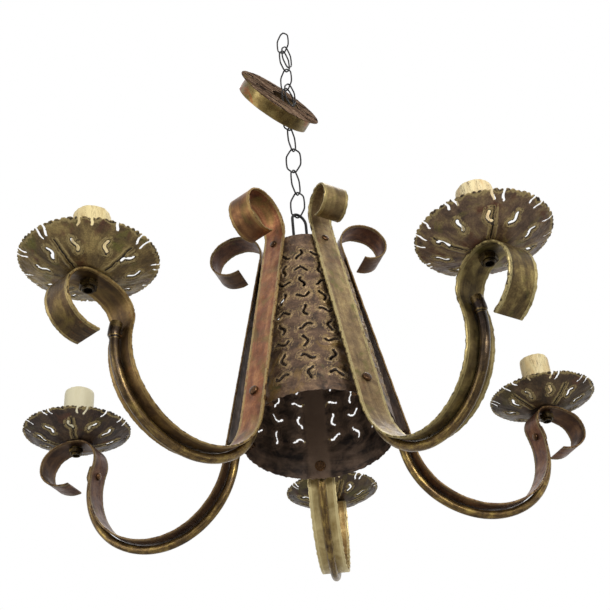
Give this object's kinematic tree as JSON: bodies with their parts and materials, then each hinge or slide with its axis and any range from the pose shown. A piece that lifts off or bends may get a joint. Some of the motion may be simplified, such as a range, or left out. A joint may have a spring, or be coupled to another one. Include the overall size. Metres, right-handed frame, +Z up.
{
  "type": "chandelier",
  "caption": "Forged candle chandelier: curled flat-bar arms with drip pans round a pierced cone, hung from a link chain with a canopy.",
  "frame": {"origin": "the point where the top chain link bears on its ceiling hook", "axes": "+Z up along the hanging chain, -Y towards the near side between the two front arms, +X to the right"},
  "size_m": [0.5747, 0.5573, 0.6209],
  "materials": {
    "copper_strap": "torch-coloured copper brown",
    "olive_strap": "aged olive brass",
    "pale_strap": "pale worn brass",
    "brass_tube": "aged brass with bright streaks",
    "pan_bronze": "torch-darkened bronze",
    "candle_cream": "cream with brown drips",
    "holder_plastic": "plain cream",
    "brass_fitting": "worn brass",
    "fastener_iron": "dark copper",
    "body_bronze": "torch-darkened bronze",
    "canopy_bronze": "torch-marked brown bronze",
    "band_brass": "bright aged brass",
    "chain_iron": "blackened iron"
  },
  "bodies": {
    "top_link": {"chain_link_1": "chain_iron"},
    "link_2": {"chain_link_2": "chain_iron"},
    "link_3": {"chain_link_3": "chain_iron"},
    "link_4": {"chain_link_4": "chain_iron"},
    "link_5": {"chain_link_5": "chain_iron"},
    "link_6": {"chain_link_6": "chain_iron"},
    "link_7": {"chain_link_7": "chain_iron"},
    "link_8": {"chain_link_8": "chain_iron"},
    "link_9": {"chain_link_9": "chain_iron"},
    "spare_1": {"spare_link_1": "chain_iron"},
    "spare_2": {"spare_link_2": "chain_iron"},
    "canopy": {"canopy_disc": "canopy_bronze", "canopy_band": "band_brass"},
    "sleeve_front_left": {"candle_sleeve_front_left": "candle_cream"},
    "sleeve_front_right": {"candle_sleeve_front_right": "candle_cream"},
    "sleeve_right": {"candle_sleeve_right": "candle_cream"},
    "sleeve_back": {"candle_sleeve_back": "candle_cream"},
    "sleeve_left": {"candle_sleeve_left": "candle_cream"},
    "fixture": {"hanging_loop": "chain_iron", "body_cone": "body_bronze", "strap_front_left": "copper_strap", "tube_front_left": "brass_tube", "top_rivet_front_left": "fastener_iron", "body_bolt_front_left": "fastener_iron", "arm_rivet_front_left": "fastener_iron", "nipple_front_left": "brass_fitting", "drip_pan_front_left": "pan_bronze", "lampholder_front_left": "holder_plastic", "strap_front_right": "olive_strap", "tube_front_right": "brass_tube", "top_rivet_front_right": "fastener_iron", "body_bolt_front_right": "fastener_iron", "arm_rivet_front_right": "fastener_iron", "nipple_front_right": "brass_fitting", "drip_pan_front_right": "pan_bronze", "lampholder_front_right": "holder_plastic", "strap_right": "olive_strap", "tube_right": "brass_tube", "top_rivet_right": "fastener_iron", "body_bolt_right": "fastener_iron", "arm_rivet_right": "fastener_iron", "nipple_right": "brass_fitting", "drip_pan_right": "pan_bronze", "lampholder_right": "holder_plastic", "strap_back": "pale_strap", "tube_back": "brass_tube", "top_rivet_back": "fastener_iron", "body_bolt_back": "fastener_iron", "arm_rivet_back": "fastener_iron", "nipple_back": "brass_fitting", "drip_pan_back": "pan_bronze", "lampholder_back": "holder_plastic", "strap_left": "olive_strap", "tube_left": "brass_tube", "top_rivet_left": "fastener_iron", "body_bolt_left": "fastener_iron", "arm_rivet_left": "fastener_iron", "nipple_left": "brass_fitting", "drip_pan_left": "pan_bronze", "lampholder_left": "holder_plastic"}
  },
  "joints": [
    {"name": "link_2_swing", "type": "hinge", "parent": "top_link", "child": "link_2", "pos_m": [0, 0, -0.0327], "axis": [-0.788, 0.6157, 0], "range_deg": [-25, 25]},
    {"name": "link_3_swing", "type": "hinge", "parent": "link_2", "child": "link_3", "pos_m": [0, 0, -0.0642], "axis": [0.6428, 0.766, 0], "range_deg": [-25, 25]},
    {"name": "link_4_swing", "type": "hinge", "parent": "link_3", "child": "link_4", "pos_m": [0, 0, -0.0957], "axis": [-0.6947, 0.7193, 0], "range_deg": [-25, 10]},
    {"name": "link_5_swing", "type": "hinge", "parent": "link_4", "child": "link_5", "pos_m": [0, 0, -0.1272], "axis": [-0.6947, 0.7193, 0], "range_deg": [-3, 3]},
    {"name": "link_6_swing", "type": "hinge", "parent": "link_5", "child": "link_6", "pos_m": [0, 0, -0.1587], "axis": [-0.8988, 0.4384, 0], "range_deg": [-25, 4]},
    {"name": "link_7_swing", "type": "hinge", "parent": "link_6", "child": "link_7", "pos_m": [0, 0, -0.1902], "axis": [0.309, 0.9511, 0], "range_deg": [-25, 25]},
    {"name": "link_8_swing", "type": "hinge", "parent": "link_7", "child": "link_8", "pos_m": [0, 0, -0.2217], "axis": [-0.866, 0.5, 0], "range_deg": [-25, 25]},
    {"name": "link_9_swing", "type": "hinge", "parent": "link_8", "child": "link_9", "pos_m": [0, 0, -0.2532], "axis": [0.4695, 0.8829, 0], "range_deg": [-25, 25]},
    {"name": "fixture_swing", "type": "hinge", "parent": "link_9", "child": "fixture", "pos_m": [0, 0, -0.2847], "axis": [-0.6691, 0.7431, 0], "range_deg": [-15, 15]},
    {"name": "spare_link_1_swing", "type": "hinge", "parent": "top_link", "child": "spare_1", "pos_m": [0.00308, -0.00224, -0.02656], "axis": [-0.809, 0.5878, 0], "range_deg": [-20, 20]},
    {"name": "spare_link_2_swing", "type": "hinge", "parent": "link_3", "child": "spare_2", "pos_m": [0.00291, -0.00244, -0.08957], "axis": [-0.766, 0.6428, 0], "range_deg": [-6, 20]},
    {"name": "canopy_tilt", "type": "hinge", "parent": "link_4", "child": "canopy", "pos_m": [0, 0, -0.1104], "axis": [-0.8113, -0.5846, 0], "range_deg": [0, 15]},
    {"name": "sleeve_lift_front_left", "type": "slide", "parent": "fixture", "child": "sleeve_front_left", "axis": [0, 0, 1], "range_m": [0, 0.06]},
    {"name": "sleeve_lift_front_right", "type": "slide", "parent": "fixture", "child": "sleeve_front_right", "axis": [0, 0, 1], "range_m": [0, 0.06]},
    {"name": "sleeve_lift_right", "type": "slide", "parent": "fixture", "child": "sleeve_right", "axis": [0, 0, 1], "range_m": [0, 0.06]},
    {"name": "sleeve_lift_back", "type": "slide", "parent": "fixture", "child": "sleeve_back", "axis": [0, 0, 1], "range_m": [0, 0.06]},
    {"name": "sleeve_lift_left", "type": "slide", "parent": "fixture", "child": "sleeve_left", "axis": [0, 0, 1], "range_m": [0, 0.06]}
  ]
}
